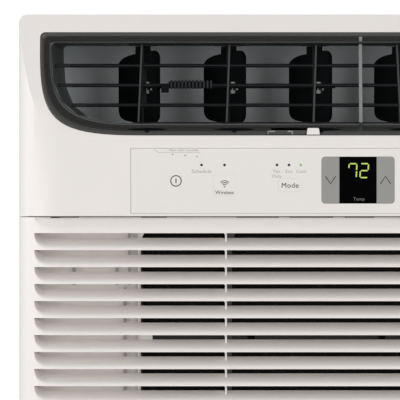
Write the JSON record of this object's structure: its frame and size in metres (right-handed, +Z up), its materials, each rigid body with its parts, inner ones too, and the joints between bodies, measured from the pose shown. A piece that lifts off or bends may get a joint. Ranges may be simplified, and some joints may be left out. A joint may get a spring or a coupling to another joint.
{
  "type": "window air conditioner",
  "caption": "Window air conditioner with a louvred outlet, steerable vanes, a control strip and a tilting intake grille on a steel case with fan, coils and compressor",
  "frame": {"origin": "middle of the base pan's underside, where the unit stands on the window sill", "axes": "+X right seen from the room, +Y from the room towards outdoors, +Z up; the front faces -Y"},
  "size_m": [0.47, 0.546, 0.34],
  "materials": {
    "white_plastic": "satin",
    "dark_gloss_plastic": "gloss",
    "duct_plastic": "matte",
    "black_plastic": "satin",
    "key_plastic": "satin",
    "strip_film": "satin",
    "black_lens": "gloss",
    "filter_plastic": "matte",
    "circuit_board": "gloss",
    "case_paint": "satin",
    "galvanised_steel": "satin",
    "aluminium_fins": "satin",
    "copper_tube": "satin",
    "white_foam": "matte",
    "black_steel": "satin"
  },
  "bodies": {
    "housing": {"front_escutcheon": "white_plastic", "front_frame": "white_plastic", "electrical_box_cover": "white_plastic", "outlet_bezel": "dark_gloss_plastic", "outlet_duct": "duct_plastic", "louvre_support_frame": "black_plastic", "cord_gland": "black_plastic", "centre_divider": "key_plastic", "light_guide_left": "key_plastic", "light_guide_right": "key_plastic", "control_overlay": "strip_film", "display_lens": "black_lens", "control_board": "circuit_board", "cabinet": "case_paint", "rear_panel": "case_paint", "door_hinge_pin_left": "galvanised_steel", "door_hinge_pin_right": "galvanised_steel", "base_pan": "galvanised_steel", "bulkhead": "galvanised_steel", "motor_bracket": "galvanised_steel", "fan_shroud": "galvanised_steel", "evaporator_coil": "aluminium_fins", "condenser_coil": "aluminium_fins", "run_capacitor": "aluminium_fins", "evaporator_tubes": "copper_tube", "condenser_tubes": "copper_tube", "suction_line": "copper_tube", "discharge_line": "copper_tube", "drain_pan": "white_foam", "blower_scroll": "white_foam", "fan_motor": "black_steel", "compressor": "black_steel"},
    "louvre_top": {"louvre_top": "black_plastic"},
    "louvre_middle": {"louvre_middle": "black_plastic"},
    "louvre_bottom": {"louvre_bottom": "black_plastic"},
    "louvre_gang": {"louvre_gang_link": "black_plastic"},
    "vane_link_left": {"vane_link_left": "black_plastic"},
    "vane_link_right": {"vane_link_right": "black_plastic"},
    "intake_door": {"intake_grille": "white_plastic", "filter_frame": "filter_plastic", "filter_mesh": "filter_plastic"},
    "rotor": {"motor_shaft": "galvanised_steel", "blower_wheel": "black_plastic", "condenser_fan": "black_plastic"},
    "vent_lever": {"vent_lever": "white_plastic"},
    "vent_damper": {"vent_damper": "galvanised_steel"},
    "vane_1": {"vane_1": "black_plastic"},
    "vane_2": {"vane_2": "black_plastic"},
    "vane_3": {"vane_3": "black_plastic"},
    "vane_4": {"vane_4": "black_plastic"},
    "vane_5": {"vane_5": "black_plastic"},
    "vane_6": {"vane_6": "black_plastic"},
    "temp_down_key": {"temp_down_key": "key_plastic"},
    "temp_up_key": {"temp_up_key": "key_plastic"},
    "power_key": {"power_key": "key_plastic"},
    "connect_key": {"connect_key": "key_plastic"},
    "mode_key": {"mode_key": "key_plastic"},
    "fan_speed_key": {"fan_speed_key": "key_plastic"},
    "timer_key": {"timer_key": "key_plastic"}
  },
  "joints": [
    {"name": "louvre_tilt", "type": "hinge", "parent": "housing", "child": "louvre_middle", "pos_m": [0, -0.24747, 0.291], "axis": [1, 0, 0], "range_deg": [-25, 25]},
    {"name": "louvre_top_tilt", "type": "hinge", "parent": "housing", "child": "louvre_top", "pos_m": [0, -0.2448, 0.3048], "axis": [1, 0, 0], "range_deg": [-25, 25]},
    {"name": "louvre_bottom_tilt", "type": "hinge", "parent": "housing", "child": "louvre_bottom", "pos_m": [0, -0.25015, 0.2771], "axis": [1, 0, 0], "range_deg": [-25, 25]},
    {"name": "louvre_gang_pivot", "type": "hinge", "parent": "louvre_middle", "child": "louvre_gang", "pos_m": [-0.148, -0.24047, 0.291], "axis": [1, 0, 0], "range_deg": [-25, 25]},
    {"name": "vane_1_swing", "type": "hinge", "parent": "housing", "child": "vane_1", "pos_m": [-0.1493, -0.217, 0.2904], "axis": [0, 0, 1], "range_deg": [-84, 5]},
    {"name": "vane_2_swing", "type": "hinge", "parent": "housing", "child": "vane_2", "pos_m": [-0.089, -0.217, 0.2904], "axis": [0, 0, 1], "range_deg": [-84, 5]},
    {"name": "vane_3_swing", "type": "hinge", "parent": "housing", "child": "vane_3", "pos_m": [-0.0287, -0.217, 0.2904], "axis": [0, 0, 1], "range_deg": [-84, 5]},
    {"name": "vane_4_swing", "type": "hinge", "parent": "housing", "child": "vane_4", "pos_m": [0.0316, -0.217, 0.2904], "axis": [0, 0, 1], "range_deg": [-84, 5]},
    {"name": "vane_5_swing", "type": "hinge", "parent": "housing", "child": "vane_5", "pos_m": [0.0919, -0.217, 0.2904], "axis": [0, 0, 1], "range_deg": [-84, 5]},
    {"name": "vane_6_swing", "type": "hinge", "parent": "housing", "child": "vane_6", "pos_m": [0.1522, -0.217, 0.2904], "axis": [0, 0, 1], "range_deg": [-84, 5]},
    {"name": "vane_link_left_pivot", "type": "hinge", "parent": "vane_1", "child": "vane_link_left", "pos_m": [-0.14528, -0.22146, 0.2904], "axis": [0, 0, 1], "range_deg": [-5, 84]},
    {"name": "vane_link_right_pivot", "type": "hinge", "parent": "vane_4", "child": "vane_link_right", "pos_m": [0.03562, -0.22146, 0.2904], "axis": [0, 0, 1], "range_deg": [-5, 84]},
    {"name": "door_hinge", "type": "hinge", "parent": "housing", "child": "intake_door", "pos_m": [0, -0.2665, 0.01], "axis": [1, 0, 0], "range_deg": [0, 55]},
    {"name": "fan_spin", "type": "hinge", "parent": "housing", "child": "rotor", "pos_m": [0.025, 0, 0.152], "axis": [0, 1, 0], "continuous": true},
    {"name": "temp_down_key_press", "type": "slide", "parent": "housing", "child": "temp_down_key", "axis": [0, 1, 0], "range_m": [0, 0.0006], "stiffness_N_per_m": 1500},
    {"name": "temp_up_key_press", "type": "slide", "parent": "housing", "child": "temp_up_key", "axis": [0, 1, 0], "range_m": [0, 0.0006], "stiffness_N_per_m": 1500},
    {"name": "power_key_press", "type": "slide", "parent": "housing", "child": "power_key", "axis": [0, 1, 0], "range_m": [0, 0.0006], "stiffness_N_per_m": 1500},
    {"name": "connect_key_press", "type": "slide", "parent": "housing", "child": "connect_key", "axis": [0, 1, 0], "range_m": [0, 0.0006], "stiffness_N_per_m": 1500},
    {"name": "mode_key_press", "type": "slide", "parent": "housing", "child": "mode_key", "axis": [0, 1, 0], "range_m": [0, 0.0006], "stiffness_N_per_m": 1500},
    {"name": "fan_speed_key_press", "type": "slide", "parent": "housing", "child": "fan_speed_key", "axis": [0, 1, 0], "range_m": [0, 0.0006], "stiffness_N_per_m": 1500},
    {"name": "timer_key_press", "type": "slide", "parent": "housing", "child": "timer_key", "axis": [0, 1, 0], "range_m": [0, 0.0006], "stiffness_N_per_m": 1500},
    {"name": "vent_lever_slide", "type": "slide", "parent": "housing", "child": "vent_lever", "axis": [-1, 0, 0], "range_m": [0, 0.024]},
    {"name": "vent_damper_swing", "type": "hinge", "parent": "housing", "child": "vent_damper", "pos_m": [-0.204, -0.1114, 0.232], "axis": [0, 0, 1], "range_deg": [0, 52]}
  ],
  "couplings": [
    {"joint": "louvre_top_tilt", "follows": "louvre_tilt", "ratio": 1},
    {"joint": "louvre_bottom_tilt", "follows": "louvre_tilt", "ratio": 1},
    {"joint": "louvre_gang_pivot", "follows": "louvre_tilt", "ratio": -1},
    {"joint": "vane_2_swing", "follows": "vane_1_swing", "ratio": 1},
    {"joint": "vane_3_swing", "follows": "vane_1_swing", "ratio": 1},
    {"joint": "vane_link_left_pivot", "follows": "vane_1_swing", "ratio": -1},
    {"joint": "vane_5_swing", "follows": "vane_4_swing", "ratio": 1},
    {"joint": "vane_6_swing", "follows": "vane_4_swing", "ratio": 1},
    {"joint": "vane_link_right_pivot", "follows": "vane_4_swing", "ratio": -1},
    {"joint": "vent_damper_swing", "follows": "vent_lever_slide", "rad_per_m": 36.361}
  ]
}
